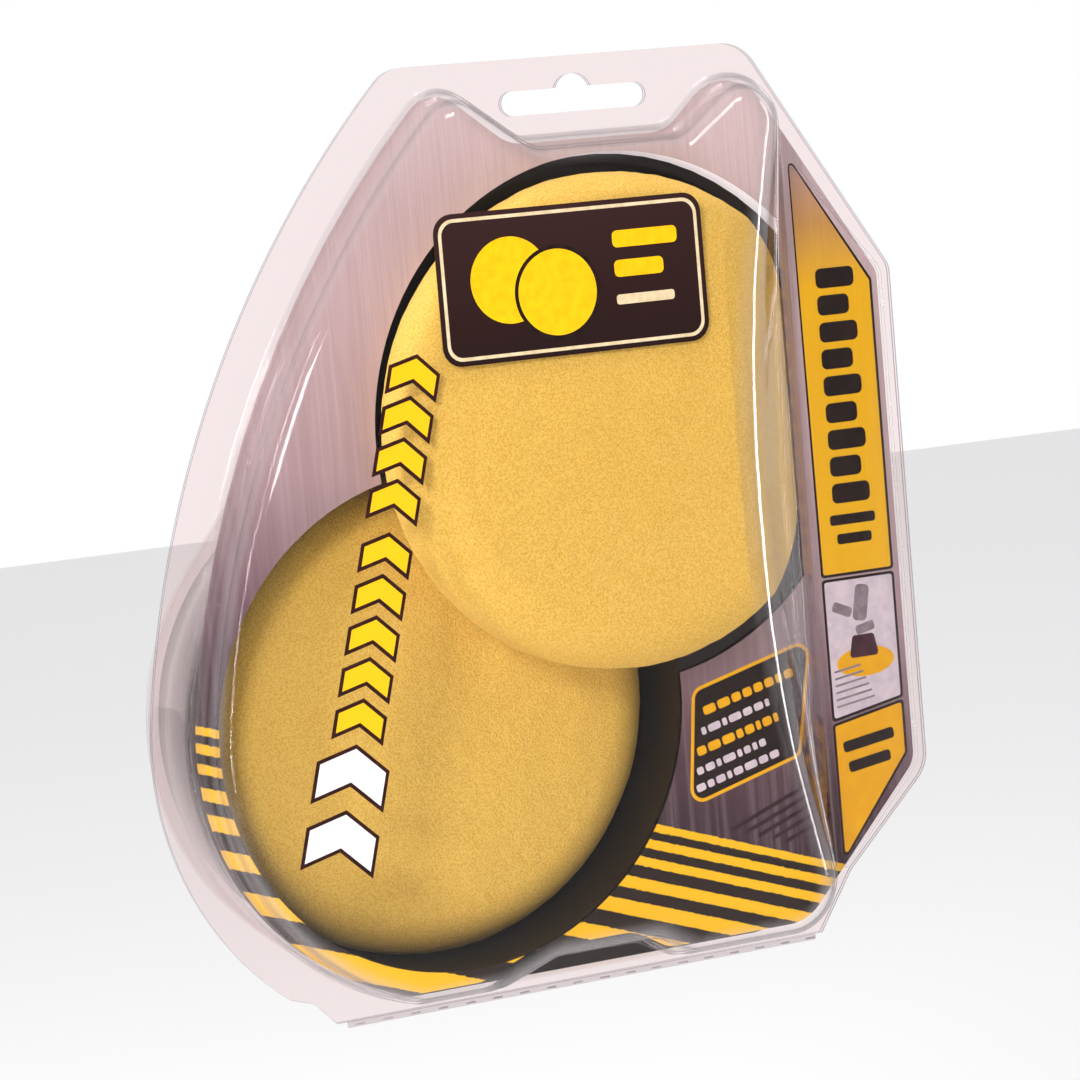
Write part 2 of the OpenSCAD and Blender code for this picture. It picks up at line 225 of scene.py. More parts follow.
def cavity(right, left, upper_r, lower_r):
    """Outline of the back cavity: a round for each pad, on a foot that runs from left to right."""
    return [
        (right, CAVITY_Z + CAVITY_CORNER, CAVITY_CORNER, 6),
        (40.5, 115.3, upper_r, 26),
        (*LOW_PAD, lower_r, 26),
        (left, CAVITY_Z + CAVITY_CORNER, CAVITY_CORNER, 6),
    ]


CAVITY_BASE = cavity(64, -14, 55.5, 57)
CAVITY_BACK = cavity(63, -13, 52.5, 55.6)
SLOT_X, SLOT_Z, SLOT_W, SLOT_H = 37.6, 181.1, 32.6, 5
SLOT_ARCH_Z, SLOT_ARCH_R = 182.2, 4.2
FOLD_STRIP = 1.35                  # the flanges stop here, and the fold bead fills the rest


def above(outline, z0):
    """The part of a closed line that lies above z0."""
    kept = []
    for (ax, az), (bx, bz) in zip(outline, outline[1:] + outline[:1]):
        if az >= z0:
            kept.append((ax, az))
        if (az - z0) * (bz - z0) < 0:
            kept.append((ax + (bx - ax) * (z0 - az) / (bz - az), z0))
    return kept


def slot_ring():
    """Euro hang slot: a straight slot with round ends and an arch over its middle."""
    half, r = SLOT_W / 2 - SLOT_H / 2, SLOT_H / 2
    arch = math.degrees(math.asin((SLOT_Z + r - SLOT_ARCH_Z) / SLOT_ARCH_R))
    right_end = turned(SLOT_X + half, SLOT_Z, r, -90, 90, 16)
    left_end = turned(SLOT_X - half, SLOT_Z, r, 90, 270, 16)
    return right_end + turned(SLOT_X, SLOT_ARCH_Z, SLOT_ARCH_R, arch, 180 - arch, 24) + left_end


# ---- Mesh building -----------------------------------------------------------------------------

SHARP = 35                         # edges that turn by more degrees than this stay sharp


class Mesher:
    """Collects closed solids that are made of rings of points."""

    def __init__(self):
        self.points, self.faces = [], []

    def loop(self, points):
        """Adds points of the pack and returns their numbers."""
        first = len(self.points)
        self.points += [at(*point) for point in points]
        return list(range(first, len(self.points)))

    def ring(self, outline, y):
        """Adds an outline at depth y and returns its points' numbers."""
        return self.loop([(x, y, z) for x, z in outline])

    def skin(self, rings):
        """Joins each ring to the next one."""
        for a, b in zip(rings, rings[1:]):
            n = len(a)
            self.faces += [(a[i], a[(i + 1) % n], b[(i + 1) % n], b[i]) for i in range(n)]

    def cap(self, *rings):
        """Fills the first ring, less the holes that the others make in it."""
        flat = [[Vector((self.points[i][0], self.points[i][2], 0)) / MM for i in r] for r in rings]
        index = [i for r in rings for i in r]
        self.faces += [tuple(index[k] for k in t) for t in tessellate_polygon(flat)]

    def fan(self, middle, rim):
        """Joins a ring to the single point in its middle."""
        self.faces += [(middle, a, b) for a, b in zip(rim, rim[1:] + rim[:1])]

    def plate(self, outline, y0, y1):
        a, b = self.ring(outline, y0), self.ring(outline, y1)
        self.skin([a, b])
        self.cap(a)
        self.cap(b)

    def object(self, name, sharp=SHARP):
        """The object, with outward normals, smooth except across sharp edges."""
        mesh = bpy.data.meshes.new(name)
        mesh.from_pydata(self.points, [], self.faces)
        bm = bmesh.new()
        bm.from_mesh(mesh)
        bmesh.ops.remove_doubles(bm, verts=bm.verts, dist=1e-7)
        bmesh.ops.recalc_face_normals(bm, faces=bm.faces)
        bm.to_mesh(mesh)
        bm.free()
        mesh.polygons.foreach_set("use_smooth", [True] * len(mesh.polygons))
        mesh.set_sharp_from_angle(angle=math.radians(sharp))
        obj = bpy.data.objects.new(name, mesh)
        bpy.context.scene.collection.objects.link(obj)
        return obj


FOOT_STEPS, LEDGE_STEPS, EDGE_STEPS = 5, 4, 9


def ledge(depth):
    """The eased ledge partway up a wall as (depth, inset) pairs, from its near side."""
    shares = [k / LEDGE_STEPS for k in range(LEDGE_STEPS + 1)]
    middle = STEP_AT * depth
    return [(middle + WALL_STEP * (t - 0.5), WALL_STEP * (t * t * (3 - 2 * t))) for t in shares]


def wall_outside(depth):
    """Outside of a formed wall as (depth, inset) pairs, from its foot to its far face."""
    foot = [
        (FOOT_R * (1 - math.cos(a)), FOOT_R * (math.sin(a) - 1)) for a in arc(0, 90, FOOT_STEPS)
    ]
    edge = [
        (depth - EDGE_R * (1 - math.sin(a)), WALL_STEP + EDGE_R * (1 - math.cos(a)))
        for a in arc(0, 90, EDGE_STEPS)
    ]
    return foot + ledge(depth) + edge


def wall_inside(depth):
    """Inside of the same wall, from its far face to its foot."""
    far, near = EDGE_R - SHEET, FOOT_R + SHEET
    edge = [
        (depth - EDGE_R + far * math.sin(a), WALL_STEP + EDGE_R - far * math.cos(a))
        for a in arc(90, 0, EDGE_STEPS)
    ]
    step = [(d, inset + SHEET) for d, inset in reversed(ledge(depth))]
    foot = [
        (FOOT_R - near * math.cos(a), near * math.sin(a) - FOOT_R) for a in arc(90, 0, FOOT_STEPS)
    ]
    return edge + step + foot


def add_wall(m, near_circles, far_circles, depth, side):
    """A formed wall with a closed far face. Returns its rings at the foot, outside and inside."""

    def section(d, inset):
        t = max(0, min(1, d / depth))
        pairs = zip(ring(near_circles, inset), ring(far_circles, inset))
        outline = [(a[0] + (b[0] - a[0]) * t, a[1] + (b[1] - a[1]) * t) for a, b in pairs]
        return m.ring(outline, side * FLANGE_OUT + side * d)

    outer = [section(d, i) for d, i in wall_outside(depth)]
    inner = [section(d, i) for d, i in wall_inside(depth)]
    m.skin(outer)
    m.skin(inner)
    m.cap(outer[-1])
    m.cap(inner[0])
    return outer[0], inner[-1]


def add_pocket(m):
    """The low step over the card's side panel. Returns its rings at the foot, outside and inside."""
    outer = [m.ring(ring(POCKET, i), -FLANGE_OUT - d) for d, i in POCKET_PROFILE]
    inner = [m.ring(ring(POCKET, i + POCKET_WALL), -FLANGE_Y - d) for d, i in POCKET_PROFILE]
    for rings in (outer, inner):
        m.skin(rings)
        m.cap(rings[-1])
    return outer[0], inner[0]


def shell(near_circles, far_circles, depth, side, pocket=False):
    """One half of the pack: its flange with the hang slot, and its formed wall, in one sheet."""
    m = Mesher()
    feet = [[foot] for foot in add_wall(m, near_circles, far_circles, depth, side)]
    if pocket:
        for foot, low_step in zip(feet, add_pocket(m)):
            foot.append(low_step)
    rim, slot = above(ring(FLANGE), FOLD_STRIP), slot_ring()
    loops = [[m.ring(rim, y), m.ring(slot, y)] for y in (side * FLANGE_OUT, side * FLANGE_Y)]
    for outline, foot in zip(loops, feet):
        m.cap(*outline, *foot)
    for edges in zip(*loops):
        m.skin(edges)
    return m


# ---- Materials ---------------------------------------------------------------------------------


def linear(c):
    """A screen value of 0 to 255 as the linear value that shaders take."""
    return c / 255 / 12.92 if c < 10 else ((c / 255 + 0.055) / 1.055) ** 2.4


def rgb(*screen):
    """A colour given as three screen values."""
    return (*(linear(c) for c in screen), 1)


class Nodes:
    """A material's node tree, with short ways to add and join nodes."""

    def __init__(self, name):
        self.material = bpy.data.materials.new(name)
        self.material.use_nodes = True
        self.tree = self.material.node_tree
        self.bsdf = self.tree.nodes["Principled BSDF"]
        self.out = self.tree.nodes["Material Output"]
        self.place = self.add("ShaderNodeTexCoord").outputs["Object"]

    def add(self, kind, **settings):
        node = self.tree.nodes.new(kind)
        for key, value in settings.items():
            setattr(node, key, value)
        return node

    def set(self, socket, value):
        """Joins a socket to another one, or gives it a plain value."""
        if isinstance(value, bpy.types.NodeSocket):
            self.tree.links.new(value, socket)
        else:
            socket.default_value = value

    def surface(self, colour, **inputs):
        """Sets the shader's colour and its other inputs, whose spaces are written as underscores."""
        self.set(self.bsdf.inputs["Base Color"], colour)
        for key, value in inputs.items():
            self.set(self.bsdf.inputs[key.replace("_", " ")], value)
        return self.material

    def math(self, operation, *values):
        node = self.add("ShaderNodeMath", operation=operation)
        for socket, value in zip(node.inputs, values):
            self.set(socket, value)
        return node.outputs[0]

    def texture(self, kind, scale, stretch=(1, 1, 1), **inputs):
        mapping = self.add("ShaderNodeMapping")
        self.set(mapping.inputs["Vector"], self.place)
        mapping.inputs["Scale"].default_value = stretch
        node = self.add(kind)
        self.set(node.inputs["Vector"], mapping.outputs[0])
        node.inputs["Scale"].default_value = scale
        for key, value in inputs.items():
            node.inputs[key].default_value = value
        return node.outputs[0]

    def mix(self, factor, a, b, blend="MIX"):
        node = self.add("ShaderNodeMix", data_type="RGBA", blend_type=blend)
        for socket, value in zip((node.inputs[0], node.inputs[6], node.inputs[7]), (factor, a, b)):
            self.set(socket, value)
        return node.outputs[2]

    def ramp(self, value, stops, interpolation="LINEAR"):
        node = self.add("ShaderNodeValToRGB")
        node.color_ramp.interpolation = interpolation
        elements = node.color_ramp.elements
        while len(elements) < len(stops):
            elements.new(0.5)
        for element, (position, colour) in zip(elements, stops):
            element.position = position
            element.color = colour
        self.set(node.inputs[0], value)
        return node.outputs[0]

    def range(self, value, low, high):
        """value, brought from low..high into 0..1."""
        node = self.add("ShaderNodeMapRange")
        for socket, v in zip(node.inputs, (value, low, high)):
            self.set(socket, v)
        return node.outputs[0]

    def bump(self, height, distance, strength):
        node = self.add("ShaderNodeBump")
        node.inputs["Strength"].default_value = strength
        node.inputs["Distance"].default_value = distance
        self.set(node.inputs["Height"], height)
        self.set(self.bsdf.inputs["Normal"], node.outputs[0])

    def across(self):
        """The pack's X and Z, in millimetres."""
        axes = self.add("ShaderNodeSeparateXYZ")
        self.set(axes.inputs[0], self.place)
        x = self.math("MULTIPLY_ADD", axes.outputs["X"], 1 / MM, MID_X)
        return x, self.math("MULTIPLY", axes.outputs["Z"], 1 / MM)


HEAD_ON_GLOSS = 0.014
GRAZING_GLOSS = 0.5
LEANING = (0.16, 0.5)              # where rise sets in and is full: 0 faces the eye, 1 is edge-on


def clear_plastic(name, tint, edge, roughness, fade=4.0, haze=0.0, rise=0.03):
    """Thin clear sheet: see-through, with a faint tint that deepens where it is seen on edge.

    A higher fade keeps the edge colour nearer the rim, haze adds gloss all over, and rise adds
    gloss to every part that leans away from the eye.
    """
    n = Nodes(name)
    facing = n.add("ShaderNodeLayerWeight")
    facing.inputs["Blend"].default_value = 0.5
    side = facing.outputs["Facing"]
    through = n.add("ShaderNodeBsdfTransparent")
    n.set(through.inputs["Color"], n.mix(n.math("POWER", side, fade), tint, edge))
    waves = n.texture("ShaderNodeTexNoise", 45, Detail=2.0, Roughness=0.4)
    n.bump(waves, 0.0006, 0.5)
    grazing = n.math("POWER", side, 5.0)
    share = n.math("MULTIPLY_ADD", grazing, GRAZING_GLOSS, HEAD_ON_GLOSS + haze)
    share = n.math("MULTIPLY_ADD", n.range(side, *LEANING), rise, share)
    mixed = n.add("ShaderNodeMixShader")
    for socket, value in zip(mixed.inputs, (share, through.outputs[0], n.bsdf.outputs[0])):
        n.set(socket, value)
    n.set(n.out.inputs["Surface"], mixed.outputs[0])
    return n.surface(rgb(232, 230, 232), Metallic=1.0, Roughness=roughness)


def foam_material(name, light):
    """Fine open-cell foam. light below 1 darkens the colour as painted shade, for the pad that lies
    deeper in the pack.
    """
    n = Nodes(name)
    cells = n.texture("ShaderNodeTexVoronoi", 2300)
    grain = n.texture("ShaderNodeTexNoise", 1500, Detail=4.0, Roughness=0.7)
    clouds = n.texture("ShaderNodeTexNoise", 55, Detail=3.0, Roughness=0.55)
    body = n.mix(n.range(clouds, 0.3, 0.7), rgb(237, 196, 78), rgb(244, 207, 92))
    pores = n.mix(n.range(grain, 0.62, 0.42), body, rgb(229, 184, 66))
    lit = n.mix(n.range(cells, 0.32, 0.6), pores, rgb(247, 215, 106))
    # painted shade: light below 1 multiplies the foam colour down, a little warmer
    painted_warm_shade = (light, light * 0.99, light * 0.94, 1)
    n.bump(n.math("ADD", cells, n.math("MULTIPLY", grain, 0.8)), 0.0002, 0.6)
    return n.surface(
        n.mix(1.0, lit, painted_warm_shade, "MULTIPLY"),
        Roughness=0.95,
        Sheen_Weight=0.12,
        Sheen_Tint=rgb(255, 236, 170),
        Subsurface_Weight=0.12,
        Subsurface_Radius=(0.004, 0.0024, 0.0008),
        Subsurface_Scale=1.0,
    )


BRUSHED = (2600, 2600, 55)         # noise scale along X, Y and Z, so that the grain runs up the card
BROAD_BRUSHED = (700, 700, 12)
STRIPE_SLOPE = 0.355
STRIPE_TOP = 45.6
STRIPE_W = 1.62                    # of the uppermost stripe
STRIPE_GROWTH = 1.085              # each stripe's width over that of the one above it
STRIPES = 19
STRIPE_REACH = 75                  # depth below STRIPE_TOP that the stripes' ramp covers
METAL_TOP = 205                    # where the metal is at its palest
PANEL_YELLOW = rgb(250, 198, 18)


def printed_card():
    """Brushed metal print that darkens towards the hazard stripes along the bottom."""
    n = Nodes("printed_front_card")
    x, z = n.across()
    height = n.math("MULTIPLY_ADD", x, STRIPE_SLOPE, z)
    grain = n.texture("ShaderNodeTexNoise", 1, BRUSHED, Detail=5.0, Roughness=0.65)
    broad = n.texture("ShaderNodeTexNoise", 1, BROAD_BRUSHED, Detail=3.0, Roughness=0.6)
    stops = [
        (0.0, rgb(56, 38, 48)), (0.1, rgb(84, 62, 72)), (0.2, rgb(128, 106, 114)),
        (0.36, rgb(176, 156, 161)), (0.6, rgb(196, 177, 181)), (1.0, rgb(214, 199, 201)),
    ]
    metal = n.ramp(n.range(height, STRIPE_TOP, METAL_TOP), stops)
    brushed = n.mix(n.range(grain, 0.36, 0.66), n.mix(0.16, metal, rgb(70, 54, 62)), metal)
    gleam = n.mix(0.12, brushed, rgb(236, 226, 228))
    brushed = n.mix(n.range(broad, 0.45, 0.75), brushed, gleam)
    bands, edge = [], 0
    for k in range(STRIPES):
        bands.append((edge / STRIPE_REACH, (rgb(252, 202, 16), rgb(32, 18, 9))[k % 2]))
        edge += STRIPE_W * STRIPE_GROWTH**k
    ragged = n.texture("ShaderNodeTexNoise", 1500, Detail=3.0)
    depth = n.math("SUBTRACT", STRIPE_TOP - 0.4, height)
    depth = n.math("MULTIPLY_ADD", ragged, 0.8, depth)
    striped = n.ramp(n.math("DIVIDE", depth, STRIPE_REACH), bands, "CONSTANT")
    n.bump(grain, 0.00002, 0.4)
    art = n.mix(n.math("GREATER_THAN", depth, 0.0), brushed, striped)
    return n.surface(art, Roughness=0.34, Specular_IOR_Level=0.25)


def print_ink(name, colour, mottled, roughness=0.32):
    """Flat ink on card, with a faint fibre mottle in a second colour."""
    n = Nodes(name)
    mottle = n.texture("ShaderNodeTexNoise", 500, Detail=3.0)
    n.bump(mottle, 0.00001, 0.3)
    ink = n.mix(n.range(mottle, 0.35, 0.7), colour, mottled)
    return n.surface(ink, Roughness=roughness, Specular_IOR_Level=0.15)


def faded_yellow():
    """The side panel's yellow, which fades to mauve towards its upper point."""
    n = Nodes("side_panel_yellow")
    _, z = n.across()
    grain = n.texture("ShaderNodeTexNoise", 1, BRUSHED, Detail=4.0)
    tan, mauve = rgb(206, 160, 90), rgb(186, 164, 168)
    fade = n.ramp(n.range(z, 138.0, 168.0), [(0, PANEL_YELLOW), (0.45, tan), (1, mauve)])
    ink = n.mix(n.range(grain, 0.3, 0.75), fade, n.mix(0.12, fade, rgb(90, 60, 30)))
    return n.surface(ink, Roughness=0.34, Specular_IOR_Level=0.2)


def tray_black():
    n = Nodes("black_tray")
    smoke = n.texture("ShaderNodeTexNoise", 70, Detail=3.0)
    n.bump(smoke, 0.0008, 0.5)
    gloss = n.math("MULTIPLY_ADD", smoke, 0.14, 0.1)
    black = n.mix(smoke, rgb(12, 8, 5), rgb(30, 23, 13))
    return n.surface(black, Roughness=gloss, Specular_IOR_Level=0.3)


def loop_cloth():
    n = Nodes("loop_cloth")
    loops = n.texture("ShaderNodeTexVoronoi", 1100)
    nap = n.texture("ShaderNodeTexNoise", 300, Detail=4.0)
    n.bump(n.math("ADD", loops, nap), 0.0004, 0.8)
    cloth = n.mix(n.range(loops, 0.1, 0.6), rgb(196, 192, 186), rgb(236, 234, 230))
    return n.surface(cloth, Roughness=0.9, Sheen_Weight=0.4)


def bond_film():
    n = Nodes("bond_film")
    smear = n.texture("ShaderNodeTexNoise", 180, Detail=3.0)
    n.bump(smear, 0.0001, 0.4)
    return n.surface(n.mix(smear, rgb(206, 170, 92), rgb(232, 204, 140)), Roughness=0.5)


def label_dark():
    """The front label's ground, a little lighter towards its top."""
    n = Nodes("label_dark")
    _, z = n.across()
    glow = n.texture("ShaderNodeTexNoise", 30, Detail=1.0)
    ground = n.mix(n.range(z, 131.0, 160.0), rgb(26, 12, 12), rgb(46, 26, 26))
    ground = n.mix(n.math("MULTIPLY", glow, 0.3), ground, rgb(70, 44, 40))
    return n.surface(ground, Roughness=0.3, Specular_IOR_Level=0.12)


WHITE_MARKS_TOP = 24.8             # along the row of marks, where the white ones end
ROW_START = (-35.2, 36)
ROW_ANGLE = math.radians(74.9)


def mark_ink():
    """White on the two large marks and yellow on the rest."""
    n = Nodes("row_of_marks")
    x, z = n.across()
    along = n.math("MULTIPLY", n.math("SUBTRACT", x, ROW_START[0]), math.cos(ROW_ANGLE))
    rise = n.math("SUBTRACT", z, ROW_START[1])
    along = n.math("MULTIPLY_ADD", rise, math.sin(ROW_ANGLE), along)
    upper = n.math("GREATER_THAN", along, WHITE_MARKS_TOP)
    mottle = n.texture("ShaderNodeTexNoise", 500, Detail=3.0)
    ink = n.mix(upper, rgb(240, 232, 230), rgb(247, 188, 10))
    ink = n.mix(n.math("MULTIPLY", mottle, 0.15), ink, rgb(190, 140, 60))
    return n.surface(ink, Roughness=0.3, Specular_IOR_Level=0.2)


def back_print():
    """Plain back card: brushed metal over a yellow foot with dark bands."""
    n = Nodes("printed_back_card")
    x, z = n.across()
    height = n.math("MULTIPLY_ADD", x, -STRIPE_SLOPE, z)
    grain = n.texture("ShaderNodeTexNoise", 1, BRUSHED, Detail=5.0)
    brown = rgb(46, 27, 14)
    bands = [
        (0.0, PANEL_YELLOW), (0.1, brown), (0.14, PANEL_YELLOW), (0.2, brown),
        (0.23, PANEL_YELLOW), (0.27, rgb(172, 152, 156)), (0.86, PANEL_YELLOW),
        (0.88, rgb(66, 48, 58)),
    ]
    art = n.ramp(n.range(height, 0.0, 160.0), bands, "CONSTANT")
    art = n.mix(n.range(grain, 0.35, 0.7), art, n.mix(0.16, art, rgb(60, 44, 54)))
    return n.surface(art, Roughness=0.4, Coat_Weight=0.2)


def floor_material():
    n = Nodes("pale_floor")
    haze = n.texture("ShaderNodeTexNoise", 3, Detail=2.0)
    return n.surface(n.mix(haze, rgb(253, 253, 253), rgb(255, 255, 255)), Roughness=0.8)


CLEAR_TINT, CLEAR_EDGE = rgb(253, 249, 249), rgb(112, 100, 102)
REAR_TINT, REAR_EDGE = rgb(254, 251, 251), rgb(236, 230, 229)
CUT_TINT, CUT_EDGE = rgb(196, 190, 196), rgb(120, 114, 122)
BEAD_TINT, BEAD_EDGE = rgb(240, 234, 235), rgb(196, 186, 188)
clear = clear_plastic("clear_sheet", CLEAR_TINT, CLEAR_EDGE, 0.05, rise=0.11)
clear_rear = clear_plastic("clear_sheet_rear", REAR_TINT, REAR_EDGE, 0.05, fade=6.0)
clear_cut = clear_plastic("clear_cut_edge", CUT_TINT, CUT_EDGE, 0.1, haze=0.12)
bead = clear_plastic("clear_bead", BEAD_TINT, BEAD_EDGE, 0.15, haze=0.02)
foams = {
    "upper_pad": foam_material("yellow_foam", 1.0),
    # painted shade: the deeper pad gets a copy of the foam at 0.82 of its brightness
    "lower_pad": foam_material("yellow_foam_painted_shade", 0.82),
}


def dress(obj, *materials):
    """Gives an object its materials in place of those it has."""
    obj.data.materials.clear()
    for material in materials:
        obj.data.materials.append(material)
    return obj


def mark_cut_edges(obj):
    """Gives the cut edges of a shell's flange its second material."""
    limit = FLANGE_OUT * MM + 1e-6
    for face in obj.data.polygons:
        near = all(abs(obj.data.vertices[i].co.y + MID_Y * MM) < limit for i in face.vertices)
        if near and abs(face.normal.y) < 0.2:
            face.material_index = 1


for node_name, material in {
    "living_hinge": bead,
    "front_card": printed_card(),
    "back_card": back_print(),
    "pad_tray": tray_black(),
    "front_label": label_dark(),
    "side_label": mark_ink(),
}.items():
    dress(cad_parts[node_name], material)
film, cloth = bond_film(), loop_cloth()
for pad in ("upper", "lower"):
    dress(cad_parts[pad + "_pad_bond"], film)
    dress(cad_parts[pad + "_pad_loop"], cloth)

# ---- Clear shells ------------------------------------------------------------------------------

front = shell(BASE, FACE, BULGE_DEPTH, -1, pocket=True)
front_clear = dress(front.object("clear_front_shell"), clear, clear_cut)
mark_cut_edges(front_clear)
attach(front_clear, "front")
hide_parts("front_shell")

RIB_X = (-8, 56)
RIB_W = 9
RIB_R = 1.2
RIB_FRONT = FLANGE_OUT + STEP_AT * CAVITY_DEPTH + 1.2  # just behind the cavity wall's ledge
RIB_BACK = BACK_Y - 6
RIB_LEVELS = [(3.4, 0), (0.6, 0), (0.2, 0.2), (0, 0.6)]  # height and inset, from its top down


def add_rib(m, x):
    """A standing rib under the cavity, with softened corners."""
    reach = RIB_W / 2 - RIB_R
    near, far = RIB_FRONT + RIB_R, RIB_BACK - RIB_R
    corners = [(x + reach, far), (x - reach, far), (x - reach, near), (x + reach, near)]
    rings = []
    for z, inset in RIB_LEVELS:
        outline = [
            point
            for k, corner in enumerate(corners)
            for point in turned(*corner, RIB_R - inset, 90 * k, 90 * k + 90, 5)
        ]
        rings.append(m.loop([(px, py, z) for px, py in outline]))
    m.skin(rings)
    m.faces += [tuple(rings[0]), tuple(rings[-1])]


back = shell(CAVITY_BASE, CAVITY_BACK, CAVITY_DEPTH, 1)
for rib_x in RIB_X:
    add_rib(back, rib_x)
back_clear = dress(back.object("clear_back_shell"), clear_rear, clear_cut)
mark_cut_edges(back_clear)
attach(back_clear, "back")
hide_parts("back_shell")

# ---- Foam pads ---------------------------------------------------------------------------------

PAD_R = 50.8
FOAM_T = 22.2
FOAM_EDGE = 10.8                   # radius of the edge round the foam's face
CROWN = 0.45                       # how far the middle of the face stands out
SIDE_END = 0.68 * FOAM_T           # the side is straight to here, then tapers to the back
FOAM_BACK_R = 47                   # 1 more than the loop disc
FACE_RINGS, EDGE_RINGS, SIDE_RINGS, TAPER_RINGS, BACK_RINGS = 44, 22, 5, 9, 8
AROUND = 360
FOAM_SHARP = 60
FUZZ = [(0.14, 0.4), (0.2, 0.1)]   # height and frequency of each layer of the skin's unevenness
SIDE_SUNK = 0.15                   # how far inside its profile the side lies, on the whole
FACE_RISE = 0.2                    # the most that the face may stand out
UP_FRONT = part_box("upper_pad_foam")[0].y / MM + MID_Y
LOW_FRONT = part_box("lower_pad_foam")[0].y / MM + MID_Y
WINDOW_SIDE = 81.9                 # where the bulge's right wall squeezes the upper pad, at the card
CARD_BACK = 0.6                    # the pad spreads again behind the cards
SPREAD, SPREAD_OVER = 9.5, 1.8
SHOULDER = (64.5, -14)             # x and y where the squeezed side turns in towards the face
ROUNDED = (56.5, FACE_Y - 1)       # and where it ends, just past the face
BLEND = 1.6


def side_limit(y):
    """How far right the squeezed pad may reach at depth y."""
    if y > CARD_BACK:
        return WINDOW_SIDE + SPREAD * min(1, (y - CARD_BACK) / SPREAD_OVER)
    if y > 0:
        return WINDOW_SIDE
    if y > SHOULDER[1]:
        return WINDOW_SIDE + (SHOULDER[0] - WINDOW_SIDE) * y / SHOULDER[1]
    t = (y - SHOULDER[1]) / (ROUNDED[1] - SHOULDER[1])
    return SHOULDER[0] + (ROUNDED[0] - SHOULDER[0]) * t


def soft_min(a, b):
    """The smaller of two values, with the corner where they meet rounded off over BLEND."""
    h = max(BLEND - abs(a - b), 0) / BLEND
    return min(a, b) - h * h * BLEND / 4


def foam_profile():
    """Radius and depth of the foam's skin, from the middle of its face to the middle of its back."""
    flat = PAD_R - FOAM_EDGE
    face = [
        (flat * k / FACE_RINGS, CROWN * (k / FACE_RINGS) ** 2) for k in range(1, FACE_RINGS)
    ]
    edge = [
        (flat + FOAM_EDGE * math.sin(a), CROWN + (FOAM_EDGE - CROWN) * (1 - math.cos(a)))
        for a in arc(0, 90, EDGE_RINGS)
    ]
    side = [
        (PAD_R, FOAM_EDGE + (SIDE_END - FOAM_EDGE) * k / SIDE_RINGS)
        for k in range(1, SIDE_RINGS + 1)
    ]
    taper = [
        (
            PAD_R + (FOAM_BACK_R - PAD_R) * k / TAPER_RINGS,
            SIDE_END + (FOAM_T - SIDE_END) * k / TAPER_RINGS,
        )
        for k in range(1, TAPER_RINGS + 1)
    ]
    rear = [(FOAM_BACK_R * (1 - k / BACK_RINGS), FOAM_T) for k in range(1, BACK_RINGS)]
    return face + edge + side + taper + rear


def foam_skin(r, d, a, centre, front_y, squeezed, offset):
    """The point of the uneven skin at radius r, depth d and angle a."""
    radius, y = r, front_y + d
    if squeezed and math.cos(a) > 0.02:
        radius = soft_min(r, (side_limit(y) - centre[0]) / math.cos(a))
    where = Vector((radius * math.cos(a), d, radius * math.sin(a))) + offset
    fuzz = sum(height * noise.noise(where * often) for height, often in FUZZ)
    if d >= FOAM_T - 0.01:
        fuzz = 0
    # The face moves along Y and the side moves inwards. lean goes from 0 to 1 between them.
    lean = max(0, min(1, (r - (PAD_R - FOAM_EDGE)) / FOAM_EDGE)) if d < FOAM_T * 0.7 else 1
    radius = max(0, radius + min(0, fuzz - SIDE_SUNK) * lean)
    y += max(-FACE_RISE, fuzz) * (1 - lean)
    return (centre[0] + radius * math.cos(a), y, centre[1] + radius * math.sin(a))


def foam_pad(name, material, centre, front_y, squeezed, seed):
    """A foam disc with an uneven skin, squeezed or not by the bulge's right wall."""
    offset = Vector((seed * 13.7, seed * 5.1, seed * 9.3))
    angles = [math.tau * i / AROUND for i in range(AROUND)]
    m = Mesher()
    (front_middle,) = m.loop([(centre[0], front_y, centre[1])])
    rings = [
        m.loop([foam_skin(r, d, a, centre, front_y, squeezed, offset) for a in angles])
        for r, d in foam_profile()
    ]
    (back_middle,) = m.loop([(centre[0], front_y + FOAM_T, centre[1])])
    m.skin(rings)
    m.fan(front_middle, rings[0])
    m.fan(back_middle, rings[-1])
    return dress(m.object(name, FOAM_SHARP), material)


for name, centre, front_y, squeezed, seed in (
    ("upper_pad", UP_PAD, UP_FRONT, True, 10),
    ("lower_pad", LOW_PAD, LOW_FRONT, False, 9),
):
    piece = foam_pad(name + "_foam_skin", foams[name], centre, front_y, squeezed, seed)
    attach(piece, "back")
    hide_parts(name + "_foam")

# ---- Print on the front card -------------------------------------------------------------------

LAYER = 0.009                      # thickness of one layer of print


def print_piece(name, shapes, material, body, surface):
    """Flat shapes of one ink. Each shape is (outline, layer), and layer 0 lies on the surface."""
    m = Mesher()
    for outline, layer in shapes:
        y = surface - layer * LAYER
        m.plate(outline, y, y - LAYER)
    piece = dress(m.object(name), material)
    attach(piece, body)


def card_print(name, shapes, material):
    print_piece(name, shapes, material, "back", CARD_FRONT)


def corner_turns(corners):
    """For each corner of an anticlockwise polygon: the corner, the sum of the outward normals of
    its two sides, and the cosine of the turn between them.
    """
    n = len(corners)
    for i in range(n):
        before, corner, after = (Vector(corners[(i + k - 1) % n]) for k in range(3))
        u, v = (corner - before).normalized(), (after - corner).normalized()
        yield corner, Vector((u.y, -u.x)) + Vector((v.y, -v.x)), u.dot(v)


def rounded(corners, r, steps=6):
    """An anticlockwise polygon with each corner rounded to radius r."""
    centres = [corner - out * (r / (1 + turn)) for corner, out, turn in corner_turns(corners)]
    return ring([(c.x, c.y, r, steps) for c in centres], fine=1)


def grown(corners, d):
    """An anticlockwise polygon with every side moved outwards by d."""
    return [
        tuple(corner + out * (d / max(0.3, 1 + turn))) for corner, out, turn in corner_turns(corners)
    ]


